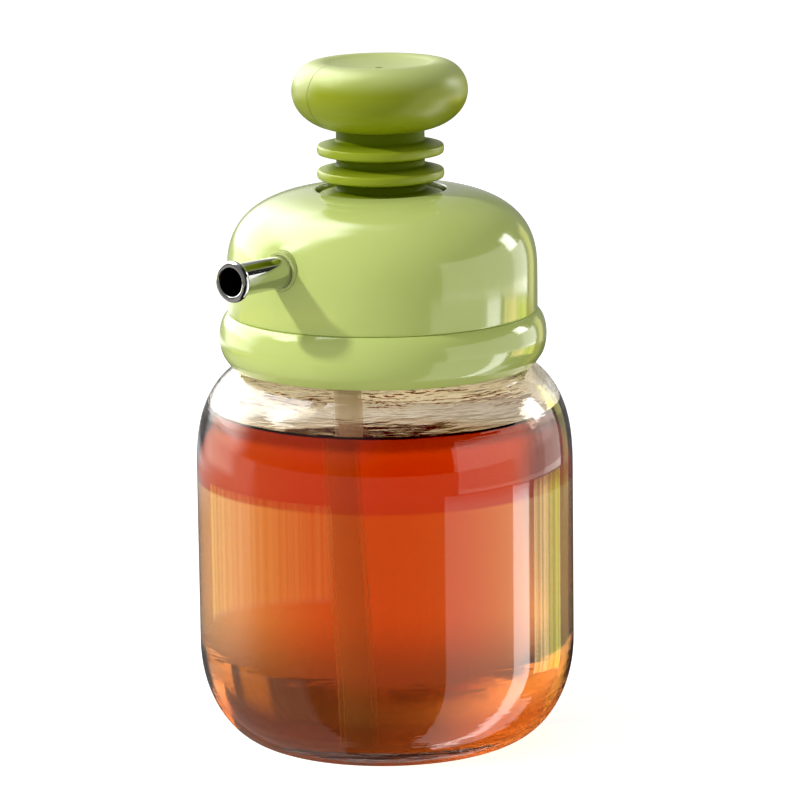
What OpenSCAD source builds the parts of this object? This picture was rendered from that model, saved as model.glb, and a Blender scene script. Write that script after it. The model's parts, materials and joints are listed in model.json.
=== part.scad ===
// Glass oil dispenser: a round jar, a push-in lid with a domed cover, an air bellows with a
// press button on top, a dip tube and a steel side spout.
// Millimetres. Z is up, the origin is the middle of the jar's base, the spout points along -Y.

/* [Jar] */
// Outside diameter of the glass jar
jar_d = 82; // [78:1:90]
// Thickness of the glass wall
jar_wall = 3.2; // [2.6:0.1:4]
// Thickness of the glass floor
jar_floor = 6; // [4:0.5:9]
// Height at which the straight wall turns in to the shoulder
body_h = 60; // [50:1:80]
// Diameter of the flat face that the jar stands on
foot_d = 52; // [44:1:58]
// Height of the rounded bottom corner
corner_h = 22; // [16:1:28]
// Width of the shoulder's curve, measured in from the wall
shoulder_run = 21; // [18:0.5:24]
// Height that the shoulder's curve would reach on the axis
shoulder_rise = 25.3; // [20:0.1:30]
// Outside diameter of the jar's neck
neck_d = 59; // [56:0.5:61]
// Height of the neck above the shoulder
neck_h = 11; // [10:0.5:16]
// Rounding of the rim's edges
rim_round = 1; // [0.4:0.1:1.2]

/* [Oil] */
// Height of the oil's surface above the table
oil_level = 73; // [36:1:76]
// Gap between the oil and what it touches
oil_gap = 0.2; // [0.1:0.05:0.4]

/* [Stopper] */
// How far the plug reaches down into the neck
plug_depth = 10.5; // [9:0.5:13]
// Wall of the plug
plug_wall = 2.2; // [1.6:0.1:3]
// Thickness of the plug's floor
plug_floor = 2; // [1.6:0.1:3]
// Thickness of the flange that rests on the rim
flange_t = 2.6; // [2:0.1:3.4]
// Thickness of the seal's sleeve
seal_body = 0.85; // [0.7:0.05:1.2]
// Reach of the seal's fins beyond its sleeve
seal_fin = 0.72; // [0.5:0.02:1]
// Number of fins on the seal
seal_fins = 3; // [2:1:4]
// Thickness of one fin
fin_t = 0.9; // [0.6:0.1:1.2]

/* [Lid cover] */
// Wall of the domed cover
cover_wall = 2; // [1.6:0.1:2.6]
// Space between the jar's neck and the inside of the collar's skirt
skirt_space = 1.7; // [1.5:0.1:2.4]
// Gap between the skirt's edge and the glass shoulder under it
skirt_gap = 0.3; // [0.3:0.1:1]
// How far the collar's bead stands out beyond the cover's wall
bead_out = 1.9; // [1:0.1:2.6]
// Height of the cover's straight wall above the seam
cover_wall_h = 8.3; // [7:0.1:12]
// Width of the dome's curve inside
dome_run = 23.6; // [21:0.2:26]
// Height of the dome's curve inside
dome_rise = 16.3; // [15:0.1:20]
// Gap round the bellows in the hole at the top of the dome
hole_gap = 0.3; // [0.3:0.1:1]

/* [Bellows and button] */
// Outside diameter of the bellows' ribs
rib_d = 27.5; // [26:0.5:30]
// Thickness of one rib where it leaves the bellows' neck
rib_t = 3.9; // [3.2:0.1:4.4]
// Thickness of one rib's rounded rim
rib_rim = 2.1; // [1.8:0.1:2.4]
// Number of ribs, the lowest of which sits in the dome's hole
ribs = 3; // [2:1:3]
// Wall of the bellows
bellows_wall = 1.1; // [0.8:0.1:1.4]
// Depth of one fold between the ribs' rims and the bellows' neck
fold = 4.2; // [3.2:0.1:4.6]
// Travel of the button when it is pressed
press_travel = 9; // [8:0.5:12]
// Gap between the dome and the pressed button
closed_h = 3.9; // [3.5:0.1:6]
// Diameter of the button
button_d = 38; // [36:0.5:44]
// Height of the button above its widest place
button_up = 6.4; // [6:0.1:7.2]
// Depth of the button below its widest place
button_low = 8.4; // [7.6:0.1:9]
// Half the width of the rounded rim round the button's dish
button_rim = 5.9; // [5.4:0.1:6.4]
// Radius of the dish in the button's top
dish_r = 10.9; // [9.5:0.1:11.6]
// Depth of the dish below the top of the rim
dish_drop = 1.55; // [1.2:0.05:2.4]
// Diameter of the air hole in the dish
vent_d = 1.8; // [1:0.1:3]

/* [Air column] */
// Outside diameter of the air column
column_d = 14; // [12:0.5:15]
// Bore of the air column
column_bore = 9; // [8.4:0.1:10]
// Thickness of the plate that carries the bellows
seat_t = 2.4; // [1.8:0.1:3]
// Diameter of the valve's flap under the plug
flap_d = 11; // [10:0.5:13]
// Number of air holes under the flap
air_holes = 6; // [4:1:8]

/* [Oil path] */
// Outside diameter of the dip tube
tube_d = 6; // [5:0.1:7]
// Bore of the dip tube
tube_bore = 4.4; // [3:0.1:4.6]
// Lean of the dip tube from the vertical, in degrees
tube_lean = 4; // [0:0.5:5]
// Gap between the tube's end and the jar's floor
tube_foot = 1.5; // [1:0.5:6]
// Outside diameter of the spout
spout_d = 7; // [6:0.1:8]
// Wall of the spout
spout_wall = 0.5; // [0.4:0.05:0.8]
// Length of the spout outside the cover
spout_out = 15.7; // [10:0.1:24]
// Outside diameter of the rolled lip at the spout's tip
lip_d = 8.9; // [8.4:0.1:10]

/* [Hidden] */
$fn = 96;
eps = 0.01;
overshoot = 1;

// Clearances between pieces that fit together
slip = 0.05;
fin_fit = 0.08;
loose = 0.1;
wide = 0.3;

// Squareness of the curves: 2 is an ellipse, more is squarer
shoulder_k = 2.6;
dome_k = 2.6;
corner_k = 2;
corner_steps = 12;
curve_steps = 14;

// Glass jar
jar_r = jar_d / 2;
foot_r = foot_d / 2;
neck_r = neck_d / 2;
mouth_r = neck_r - jar_wall;
shoulder_x = jar_r - shoulder_run;
neck_z = shoulder_height(neck_r);
rim_z = neck_z + neck_h;

// Stopper and its seal
plug_r = mouth_r - fin_fit - seal_fin - seal_body - slip;
plug_z = rim_z - plug_depth;
floor_z = plug_z + plug_floor;
flange_z = rim_z + flange_t;
seal_lip = seal_body - slip;
seal_lip_h = 1.4;

// Collar, in mm out from the neck
skirt_ri = neck_r + skirt_space;
skirt_z = shoulder_height(skirt_ri) + skirt_gap;
collar_h = rim_z - skirt_z;
ledge_ri = neck_r + 0.5;
ledge_t = 1.8;
upstand_t = 0.75;
upstand_h = flange_t + 1.4;
cover_ri = skirt_ri + 0.4;
cover_r = cover_ri + cover_wall;
upstand_r = cover_ri - loose;
flange_r = upstand_r - upstand_t - loose;
bead_x = cover_r - 0.6;
bead_z = skirt_z + 0.53 * collar_h;
bead_rx = bead_out + 0.6;
bead_rz = 0.46 * collar_h;
bead_angle = 60;
skirt_edge = 0.4;
snap_r = 0.35;
snap_x = upstand_r - 0.05;
snap_z = rim_z + 2.2;

// Cover
dome_x = cover_ri - dome_run;
dome_z = rim_z + cover_wall_h;
hole_r = rib_d / 2 + hole_gap;
top_z = dome_z + (dome_rise + cover_wall) * arch((hole_r - dome_x) / (dome_run + cover_wall), dome_k);

// Ring inside the cover, pressed in up to a step in its wall
web_z = rim_z + upstand_h + wide;
web_t = 1.7;
web_ri = flange_r - 1.7;
web_r = cover_ri - slip;
step_z = web_z + web_t;
step_r = cover_ri - 0.5;
step_h = 0.8;

// Plate, clamp and column under the bellows
bellows_foot_t = 1.2;
bellows_foot_r = rib_d / 2 + 2.8;
clamp_ri = rib_d / 2 + 0.4;
clamp_t = 1.6;
clamp_r = bellows_foot_r + 0.2 + clamp_t;
clamp_h = 2.4;
clamp_gap = 0.4;
seat_z = dome_z + dome_rise * arch((clamp_r - dome_x) / dome_run, dome_k) - clamp_gap - clamp_h;
seat_r = clamp_r + 0.4;
column_r = column_d / 2;
boss_r = column_r + 2;
boss_h = 5.5;
gussets = 4;
gusset_t = 1.6;
gusset_in = column_bore / 2 + 0.8;
gusset_out = seat_r - 1.5;
gusset_h = 9;
column_ring_z = floor_z + 3;
ring_section = 0.5;
flap_t = 0.8;
stem_r = 1.4;
bulb_r = 2.1;
bulb_h = 1.8;
air_hole_r = 0.85;
air_hole_at = 3.2;

// Bellows
bellows_h = press_travel + closed_h;
bellows_r = rib_d / 2 - fold;
bellows_ri = bellows_r - bellows_wall;
rib_to_button = 4.2;
first_rib_z = top_z - rib_t / 2;
rib_pitch = (top_z + bellows_h - rib_to_button - first_rib_z) / (ribs - 1);
rib_x = rib_d / 2 - rib_rim / 2;
rib_side = 0.75;

// Button and its core
button_z = top_z + bellows_h + button_low;
button_r = button_d / 2;
button_ring_x = button_r - button_rim;
button_low_x = 8;
button_recess = 4.2;
lip_angle = acos((button_ring_x - dish_r) / button_rim);
dish_edge_z = button_z + button_up * sin(lip_angle);
dish_z = button_z + button_up - dish_drop;
dish_rise = dish_edge_z - dish_z;
dish_sphere_r = (pow(dish_r, 2) + pow(dish_rise, 2)) / (2 * dish_rise);
bellows_top_z = button_z - button_low + button_recess;
core_z = bellows_top_z + slip;
core_flange_r = bellows_r - 0.5;
core_flange_t = 1.5;
core_boss_r = 6;
core_boss_h = 3.5;
core_floor = 1.2;
spigot_r = bellows_ri - loose;
spigot_h = 4;
spigot_wall = 1.8;
core_vent_r = 1.5;

// Elbow and dip tube
elbow_r = 4.9;
elbow_leg_r = 4.3;
elbow_top = 4.4;
elbow_gap = 0.9;
elbow_drop = 13;
elbow_at = column_r + 2.1 + elbow_r;
spout_z = seat_z - seat_t - elbow_gap - elbow_top - elbow_r * sin(tube_lean);
elbow_end = cover_ri - 4.1;
socket_at = seat_r + 1.5;
socket_r = spout_d / 2 + 2.4;
tube_r = tube_d / 2;
tube_stop = 4.5;
passage_r = tube_bore / 2;
tube_end_z = jar_floor + tube_foot;
tube_l = (spout_z - tube_end_z) / cos(tube_lean);
tube_end_y = -elbow_at + tube_l * sin(tube_lean);
sleeve_r = tube_r + 1.6;

// Spout
spout_r = spout_d / 2;
spout_tip = cover_r + spout_out;
spout_in = socket_at - 0.8;
spout_ring = 0.58;
spout_ring_at = socket_at + 3.8;
lip_section = 0.85;
lip_x = lip_d / 2 - lip_section;
grommet_t = 0.7;
grommet_r = spout_r + slip + grommet_t;
grommet_proud = 0.15;
grommet_inside = 0.8;

// Height of a squared arch of unit size at the distance u from its middle
function arch(u, k) = pow(1 - pow(min(abs(u), 1), k), 1 / k);

// Height of the glass shoulder's outside at radius r
function shoulder_height(r) =
    body_h + shoulder_rise * arch((r - shoulder_x) / shoulder_run, shoulder_k);

// Half the thickness of a rib at radius r, between the bellows' neck and the rib's rim
function rib_half(r) = rib_t / 2 - (r - bellows_r) * (rib_t - rib_rim) / 2 / (rib_x - bellows_r);

// Section of a rib's sloping sides between the radii r0 and r1, t inside its faces
function rib_sides(r0, r1, t) = [
    [r0, -rib_half(r0) + t], [r1, -rib_half(r1) + t], [r1, rib_half(r1) - t], [r0, rib_half(r0) - t]
];

// Place of the dip tube's axis along Y at height z
function tube_axis_y(z) = -elbow_at + (spout_z - z) * tan(tube_lean);

// Points of a squared quarter arc from angle a0 to a1, rising where up is 1, falling where it is -1
function quarter(x, z, rx, rz, k, a0, a1, n, up = 1) = [
    for (i = [0:n])
        let (a = a0 + (a1 - a0) * i / n)
        [x + rx * pow(max(cos(a), 0), 2 / k), z + up * rz * pow(max(sin(a), 0), 2 / k)]
];

// Angle at which such an arc has come in to the share u of its width
function arc_angle(u, k) = acos(pow(u, k / 2));

// Wall of the jar from the edge of its foot to its neck, t inside the glass's outside
function jar_side(t, floor_t, r_top) = concat(
    quarter(foot_r, corner_h, jar_r - foot_r - t, corner_h - floor_t, corner_k, 90, 0, corner_steps, -1),
    quarter(shoulder_x, body_h, shoulder_run - t, shoulder_rise - t, shoulder_k, 0,
        arc_angle((r_top - shoulder_x) / (shoulder_run - t), shoulder_k), curve_steps)
);

// Outline of the cover's solid, grown by t beyond its inside
function cover_side(t, r_top) = concat(
    [[cover_ri + t, rim_z]],
    quarter(dome_x, dome_z, dome_run + t, dome_rise + t, dome_k, 0,
        arc_angle(max(r_top - dome_x, 0) / (dome_run + t), dome_k), curve_steps)
);

function reversed(list) = [for (i = [len(list) - 1:-1:0]) list[i]];

// A plain ring about the Z axis
module ring(r_in, r_out, z0, z1) {
    rotate_extrude()
        translate([r_in, z0])
            square([r_out - r_in, z1 - z0]);
}

// A plain disc or post about the Z axis
module post(r, z0, z1) {
    translate([0, 0, z0])
        cylinder(r = r, h = z1 - z0);
}

// A cylinder along -Y at the spout's height, from y0 to y1 out from the axis
module along_spout(r, y0, y1) {
    translate([0, -y0, spout_z])
        rotate([90, 0, 0])
            cylinder(r = r, h = y1 - y0);
}

// A place in the dip tube's own leaning frame, whose origin is the elbow's corner
module on_tube() {
    translate([0, -elbow_at, spout_z])
        rotate([tube_lean, 0, 0])
            children();
}

module glass_jar() {
    rim_in = [
        for (a = [0:30:90])
            [mouth_r + rim_round - rim_round * cos(a), rim_z - rim_round + rim_round * sin(a)]
    ];
    rim_out = [
        for (a = [90:-30:0])
            [neck_r - rim_round + rim_round * cos(a), rim_z - rim_round + rim_round * sin(a)]
    ];
    color([0.86, 0.92, 0.9, 0.35])
        rotate_extrude()
            polygon(concat(
                [[0, 0]],
                jar_side(0, 0, neck_r),
                reversed(rim_out),
                reversed(rim_in),
                reversed(jar_side(jar_wall, jar_floor, mouth_r)),
                [[0, jar_floor]]
            ));
}

// Slot that the leaning dip tube passes through as the lid is lifted straight up
module tube_way(gap) {
    reach = (tube_r + gap) / cos(tube_lean);
    low_z = tube_end_z - tube_r * sin(tube_lean) - gap;
    high_z = oil_level + overshoot;
    rotate([90, 0, 90])
        linear_extrude(height = 2 * (tube_r + gap), center = true)
            polygon([
                [tube_axis_y(low_z) - reach, low_z],
                [tube_end_y + reach, low_z],
                [tube_end_y + reach, high_z],
                [tube_axis_y(high_z) - reach, high_z]
            ]);
}

module oil_fill() {
    side = [
        for (p = jar_side(jar_wall + oil_gap, jar_floor + oil_gap, mouth_r))
            if (p[1] < oil_level) p
    ];
    top_r = oil_level < body_h
        ? jar_r - jar_wall - oil_gap
        : shoulder_x + (shoulder_run - jar_wall - oil_gap)
            * arch((oil_level - body_h) / (shoulder_rise - jar_wall - oil_gap), shoulder_k);
    color([0.8, 0.32, 0.05, 0.8])
        difference() {
            rotate_extrude()
                polygon(concat([[0, jar_floor + oil_gap]], side, [[top_r, oil_level], [0, oil_level]]));
            tube_way(wide);
        }
}

module stopper() {
    color([0.93, 0.94, 0.88])
        difference() {
            union() {
                ring(plug_r - plug_wall, plug_r, plug_z, flange_z);
                ring(plug_r - eps, flange_r, rim_z, flange_z);
                ring(plug_r - plug_wall, plug_r + seal_lip, plug_z, plug_z + seal_lip_h);
                post(plug_r - eps, plug_z, floor_z);
                post(boss_r, plug_z, floor_z + boss_h);
                intersection() {
                    on_tube()
                        translate([0, 0, -tube_l])
                            cylinder(r = sleeve_r, h = tube_l);
                    post(plug_r, plug_z, floor_z + boss_h);
                }
            }
            post(column_r + slip, floor_z, flange_z);
            post(stem_r + slip, plug_z - overshoot, floor_z + overshoot);
            for (i = [0:air_holes - 1])
                rotate([0, 0, 360 * i / air_holes])
                    translate([air_hole_at, 0, 0])
                        post(air_hole_r, plug_z - overshoot, floor_z + overshoot);
            on_tube()
                translate([0, 0, -tube_l])
                    cylinder(r = tube_r + slip, h = tube_l);
        }
}

module plug_seal() {
    sleeve_z = plug_z + seal_lip_h;
    sleeve_h = rim_z - sleeve_z;
    fin_pitch = sleeve_h / seal_fins;
    color([0.9, 0.93, 0.86])
        rotate_extrude() {
            translate([plug_r + slip, sleeve_z])
                square([seal_body, sleeve_h]);
            for (i = [0:seal_fins - 1])
                translate([plug_r + slip, sleeve_z + fin_pitch * (i + 0.5) - fin_t / 2])
                    square([seal_body + seal_fin, fin_t]);
        }
}

module collar() {
    bead = [
        for (i = [-8:8])
            let (a = bead_angle * i / 8)
            [bead_x + bead_rx * cos(a), bead_z + bead_rz * sin(a)]
    ];
    color([0.72, 0.82, 0.42])
        rotate_extrude() {
            polygon(concat(
                [
                    [skirt_ri, rim_z],
                    [skirt_ri, skirt_z + skirt_edge],
                    [skirt_ri + skirt_edge, skirt_z],
                    [cover_r - skirt_edge, skirt_z]
                ],
                bead,
                [[cover_r, rim_z]]
            ));
            translate([ledge_ri, rim_z - ledge_t])
                square([skirt_ri - ledge_ri + eps, ledge_t]);
            translate([upstand_r - upstand_t, rim_z - eps])
                square([upstand_t, upstand_h]);
            translate([snap_x, snap_z])
                circle(r = snap_r);
        }
}

module dome_cover() {
    color([0.74, 0.84, 0.46])
        difference() {
            rotate_extrude()
                difference() {
                    union() {
                        polygon(concat(
                            cover_side(cover_wall, hole_r),
                            reversed(cover_side(0, hole_r))
                        ));
                        translate([step_r, step_z])
                            square([cover_ri - step_r + eps, step_h]);
                    }
                    translate([snap_x, snap_z])
                        circle(r = snap_r + loose);
                }
            along_spout(grommet_r + slip, socket_at, spout_tip);
        }
}

module cover_ring() {
    color([0.93, 0.94, 0.88])
        rotate_extrude() {
            translate([web_ri, web_z])
                square([web_r - web_ri, web_t]);
            translate([web_ri, flange_z])
                square([flange_r - web_ri, web_z - flange_z + eps]);
        }
}

module bellows_seat() {
    color([0.93, 0.94, 0.88])
        difference() {
            union() {
                post(seat_r, seat_z - seat_t, seat_z);
                post(column_r, floor_z, seat_z - seat_t + eps);
                for (i = [0:gussets - 1])
                    rotate([0, 0, 45 + 360 * i / gussets])
                        rotate([90, 0, 0])
                            linear_extrude(height = gusset_t, center = true)
                                polygon([
                                    [gusset_in, seat_z - seat_t - gusset_h],
                                    [column_r + 0.4, seat_z - seat_t - gusset_h],
                                    [gusset_out, seat_z - seat_t - gusset_t],
                                    [gusset_out, seat_z - seat_t / 2],
                                    [gusset_in, seat_z - seat_t / 2]
                                ]);
            }
            post(column_bore / 2, floor_z - overshoot, seat_z + overshoot);
            ring(column_r - 2 * ring_section, column_r + overshoot,
                column_ring_z - ring_section - slip, column_ring_z + ring_section + slip);
        }
}

module column_o_ring() {
    color([0.25, 0.25, 0.25])
        translate([0, 0, column_ring_z])
            rotate_extrude()
                translate([column_r - ring_section + slip / 2, 0])
                    circle(r = ring_section);
}

module air_valve() {
    color([0.88, 0.9, 0.85])
        rotate_extrude()
            polygon([
                [0, plug_z - flap_t - 0.5],
                [stem_r, plug_z - flap_t - 0.5],
                [flap_d / 2 - 0.4, plug_z - 0.4],
                [flap_d / 2, plug_z],
                [stem_r, plug_z],
                [stem_r, floor_z],
                [bulb_r, floor_z],
                [bulb_r, floor_z + bulb_h / 3],
                [stem_r / 2, floor_z + bulb_h],
                [0, floor_z + bulb_h]
            ]);
}

module bellows() {
    color([0.52, 0.62, 0.14])
        rotate_extrude()
            difference() {
                union() {
                    translate([bellows_ri, seat_z])
                        square([bellows_wall, bellows_top_z - seat_z]);
                    translate([bellows_ri, seat_z])
                        square([bellows_foot_r - bellows_ri, bellows_foot_t]);
                    for (i = [0:ribs - 1])
                        translate([0, first_rib_z + i * rib_pitch]) {
                            polygon(rib_sides(bellows_r - bellows_wall / 2, rib_x, 0));
                            translate([rib_x, 0])
                                circle(r = rib_rim / 2);
                        }
                }
                for (i = [0:ribs - 1])
                    translate([0, first_rib_z + i * rib_pitch])
                        polygon(rib_sides(bellows_ri - overshoot, rib_d / 2 - bellows_wall, rib_side));
                translate([0, seat_z - overshoot])
                    square([bellows_ri, bellows_top_z - seat_z + 2 * overshoot]);
            }
}

module bellows_clamp() {
    color([0.93, 0.94, 0.88]) {
        rotate_extrude()
            union() {
                translate([clamp_ri, seat_z + bellows_foot_t])
                    square([clamp_r - clamp_ri, clamp_h - bellows_foot_t]);
                translate([clamp_r - clamp_t, seat_z])
                    square([clamp_t, clamp_h]);
            }
    }
}

module button() {
    flange_top = core_z + core_flange_t + loose;
    boss_top = core_z + core_flange_t + core_boss_h + loose;
    low_z = button_z - button_low;
    step = 90 / curve_steps;
    color([0.56, 0.66, 0.16])
        rotate_extrude()
            difference() {
                polygon(concat(
                    [[0, low_z]],
                    quarter(button_low_x, button_z, button_r - button_low_x, button_low, 2, 90, 0, curve_steps, -1),
                    quarter(button_ring_x, button_z, button_rim, button_up, 2, step, 90, curve_steps - 1),
                    quarter(button_ring_x, button_z, -button_rim, button_up, 2, 90 - step, lip_angle, corner_steps),
                    [[0, dish_edge_z]]
                ));
                translate([0, dish_z + dish_sphere_r])
                    circle(r = dish_sphere_r, $fn = 360);
                translate([0, low_z - overshoot])
                    square([bellows_r + loose, button_recess + slip + overshoot]);
                translate([0, core_z - eps])
                    square([core_flange_r + loose, flange_top - core_z + eps]);
                translate([0, core_z])
                    square([core_boss_r + loose, boss_top - core_z]);
                translate([0, core_z])
                    square([vent_d / 2, button_up + button_low]);
            }
}

module button_core() {
    color([0.93, 0.94, 0.88])
        rotate_extrude()
            polygon([
                [core_vent_r, core_z - core_floor],
                [spigot_r - spigot_wall, core_z - core_floor],
                [spigot_r - spigot_wall, core_z - spigot_h],
                [spigot_r, core_z - spigot_h],
                [spigot_r, core_z],
                [core_flange_r, core_z],
                [core_flange_r, core_z + core_flange_t],
                [core_boss_r, core_z + core_flange_t],
                [core_boss_r, core_z + core_flange_t + core_boss_h],
                [core_vent_r, core_z + core_flange_t + core_boss_h]
            ]);
}

module dip_tube() {
    color([0.93, 0.93, 0.9, 0.7])
        on_tube()
            translate([0, 0, -tube_l])
                difference() {
                    cylinder(r = tube_r, h = tube_l - tube_stop);
                    translate([0, 0, -overshoot])
                        cylinder(r = tube_bore / 2, h = tube_l);
                }
}

module outlet_elbow() {
    ring_groove = spout_r + 2 * spout_ring + slip;
    color([0.93, 0.94, 0.88])
        difference() {
            union() {
                on_tube()
                    translate([0, 0, -elbow_drop])
                        cylinder(r = elbow_r, h = elbow_drop + elbow_top);
                along_spout(elbow_leg_r, elbow_at, socket_at + eps);
                along_spout(socket_r, socket_at, elbow_end);
            }
            on_tube()
                translate([0, 0, -elbow_drop - overshoot])
                    cylinder(r = tube_r + slip, h = elbow_drop - tube_stop + overshoot);
            on_tube()
                translate([0, 0, -tube_stop - eps])
                    cylinder(r = passage_r, h = tube_stop + passage_r);
            along_spout(passage_r, elbow_at, socket_at);
            along_spout(spout_r + slip, spout_in, elbow_end + overshoot);
            along_spout(ring_groove, spout_ring_at - spout_ring - slip, spout_ring_at + spout_ring + slip);
        }
}

module spout_o_ring() {
    color([0.25, 0.25, 0.25])
        translate([0, -spout_ring_at, spout_z])
            rotate([90, 0, 0])
                rotate_extrude()
                    translate([spout_r + slip / 2 + spout_ring, 0])
                        circle(r = spout_ring);
}

module spout() {
    color([0.78, 0.79, 0.8])
        difference() {
            union() {
                along_spout(spout_r, spout_in, spout_tip - lip_section);
                translate([0, -spout_tip + lip_section, spout_z])
                    rotate([90, 0, 0])
                        rotate_extrude()
                            translate([lip_x, 0])
                                circle(r = lip_section);
            }
            along_spout(spout_r - spout_wall, spout_in - overshoot, spout_tip + overshoot);
        }
}

module spout_grommet() {
    color([0.52, 0.62, 0.14])
        difference() {
            intersection() {
                along_spout(grommet_r, socket_at, spout_tip);
                rotate_extrude()
                    polygon(concat(
                        cover_side(cover_wall + grommet_proud, hole_r),
                        reversed(cover_side(-grommet_inside, hole_r))
                    ));
            }
            along_spout(spout_r + slip, socket_at - overshoot, spout_tip + overshoot);
        }
}

glass_jar();
oil_fill();
stopper();
plug_seal();
collar();
dome_cover();
cover_ring();
bellows_seat();
column_o_ring();
air_valve();
bellows();
bellows_clamp();
button();
button_core();
dip_tube();
outlet_elbow();
spout_o_ring();
spout();
spout_grommet();
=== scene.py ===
"""Looks of the glass oil dispenser: a thick clear jar of amber oil, a glossy pale green lid, a soft
button on a ribbed neck and a polished steel spout.

Sizes in the classes are millimetres in the part's own frame, with Z up and the spout along -Y.
"""

import json
import logging
import math
from dataclasses import dataclass
from enum import Enum
from typing import Any

import bpy
from mathutils import Matrix, Vector


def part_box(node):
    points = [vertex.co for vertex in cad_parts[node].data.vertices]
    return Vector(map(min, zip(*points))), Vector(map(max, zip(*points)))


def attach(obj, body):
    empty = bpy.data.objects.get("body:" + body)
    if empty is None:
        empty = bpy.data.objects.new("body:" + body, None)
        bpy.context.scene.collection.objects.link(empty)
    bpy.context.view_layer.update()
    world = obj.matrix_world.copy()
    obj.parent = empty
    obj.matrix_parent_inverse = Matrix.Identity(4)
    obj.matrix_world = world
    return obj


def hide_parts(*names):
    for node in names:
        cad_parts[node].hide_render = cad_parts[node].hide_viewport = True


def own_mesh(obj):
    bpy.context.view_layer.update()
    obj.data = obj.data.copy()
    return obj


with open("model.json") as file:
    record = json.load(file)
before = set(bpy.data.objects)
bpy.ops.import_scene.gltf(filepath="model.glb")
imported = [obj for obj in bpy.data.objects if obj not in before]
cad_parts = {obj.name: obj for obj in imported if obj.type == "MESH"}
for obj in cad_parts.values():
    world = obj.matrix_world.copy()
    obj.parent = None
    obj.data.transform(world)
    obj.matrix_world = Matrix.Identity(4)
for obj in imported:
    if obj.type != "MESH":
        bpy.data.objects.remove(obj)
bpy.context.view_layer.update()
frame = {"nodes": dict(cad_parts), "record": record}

LOG = logging.getLogger("oil_dispenser")
MM = 0.001
DEGREES = 180.0 / math.pi

Piece = bpy.types.Object
Point = tuple[float, float]
Colour = tuple[float, float, float]
Place = tuple[float, float, float]
Fade = tuple[float, float, float, float]
Texture = tuple[float, float, Place, float]

# How close points are to become one, how much of a side a rounded corner may take, and its stretches
WELD = 0.002 * MM
BEND_LIMIT = 0.49
BEND_STEPS = 5
DRILL_STEPS = 96

# A noise's roughness, the range where most of it lies, and how many finer layers make a fine one
NOISE_ROUGHNESS = 0.55
NOISE_SPREAD = (0.3, 0.7)
FINE = 2.0
EVEN = (1.0, 1.0, 1.0)

# The Mix node's sockets for colours
COLOUR_LOW, COLOUR_HIGH, COLOUR_OUT = 6, 7, 2

WHITE_LIGHT = (1.0, 1.0, 1.0)
DAYLIGHT = (1.0, 0.98, 0.92)
NO_LIGHT = (0.0, 0.0, 0.0)


class Corner(Enum):
    """The angle in degrees past which a finished piece keeps an edge sharp."""

    SOFT = 50.0
    CRISP = 30.0


class Ray(Enum):
    """Kinds of ray that a shader can tell apart."""

    CAMERA = "Is Camera Ray"
    SHADOW = "Is Shadow Ray"
    DIFFUSE = "Is Diffuse Ray"
    GLOSSY = "Is Glossy Ray"
    TRANSMISSION = "Is Transmission Ray"


def box_mm(node: str) -> tuple[Vector, Vector]:
    """Gives a CAD node's lowest and highest corners in millimetres."""
    low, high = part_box(node)
    return low / MM, high / MM


# Modelling


@dataclass(frozen=True)
class Arch:
    """A curve about a centre, from straight out to straight up: part of an ellipse, or squarer."""

    centre: Point
    reach: Point
    squareness: float = 2.0

    def point(self, angle: float) -> Point:
        """Gives the point at an angle in degrees, 0 pointing out and 90 up."""
        across, up = math.cos(math.radians(angle)), math.sin(math.radians(angle))
        return tuple(c + r * math.copysign(abs(v) ** (2 / self.squareness), v)
                     for c, r, v in zip(self.centre, self.reach, (across, up)))

    def angle_at_radius(self, radius: float) -> float:
        """Gives the angle at which the curve has come in to a radius."""
        share = (radius - self.centre[0]) / self.reach[0]
        return math.degrees(math.acos(share ** (self.squareness / 2)))

    def angle_at_height(self, height: float) -> float:
        """Gives the angle at which the curve has come up to a height."""
        share = (height - self.centre[1]) / self.reach[1]
        return math.degrees(math.asin(share ** (self.squareness / 2)))


class Outline:
    """A path of radius and height points in millimetres, drawn stretch by stretch."""

    def __init__(self) -> None:
        """Starts an empty outline."""
        self._knots: list[tuple[float, float, float]] = []

    def to(self, radius: float, height: float, bend: float = 0.0) -> "Outline":
        """Draws a line to a point, whose corner is rounded over the bend's length on each side."""
        self._knots.append((radius, height, bend))
        return self

    def along(self, arch: Arch, start: float, end: float, steps: int = 16) -> "Outline":
        """Draws a stretch of an arch.

        Args:
            arch: The arch.
            start: First angle in degrees.
            end: Last angle in degrees.
            steps: Number of stretches.

        Returns:
            This outline.
        """
        for i in range(steps + 1):
            self.to(*arch.point(start + (end - start) * i / steps))
        return self

    def back_along(self, other: "Outline") -> "Outline":
        """Goes on along another outline, from its end to its start."""
        self._knots.extend(reversed(other._knots))
        return self

    def points(self) -> list[Point]:
        """Gives the outline's points with its corners rounded.

        Returns:
            The points in order.
        """
        made: list[Point] = []
        last = len(self._knots) - 1
        for i, (radius, height, bend) in enumerate(self._knots):
            corner = Vector((radius, height))
            if bend <= 0 or i in (0, last):
                made.append((radius, height))
                continue
            sides = [Vector(self._knots[j][:2]) - corner for j in (i - 1, i + 1)]
            ends = [corner + side.normalized() * min(bend, BEND_LIMIT * side.length) for side in sides]
            for k in range(BEND_STEPS + 1):
                t = k / BEND_STEPS
                made.append(tuple((1 - t) ** 2 * ends[0] + 2 * t * (1 - t) * corner + t ** 2 * ends[1]))
        return made


@dataclass(frozen=True)
class Spindle:
    """The axis that a turned piece is turned about, in millimetres."""

    origin: Place = (0.0, 0.0, 0.0)
    along: Place = (0.0, 0.0, 1.0)
    out: Place = (1.0, 0.0, 0.0)

    def place(self, radius: float, height: float) -> Vector:
        """Gives the place in metres of a point at a radius and a height."""
        return (Vector(self.origin) + Vector(self.out) * radius + Vector(self.along) * height) * MM


UPRIGHT = Spindle()


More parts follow.
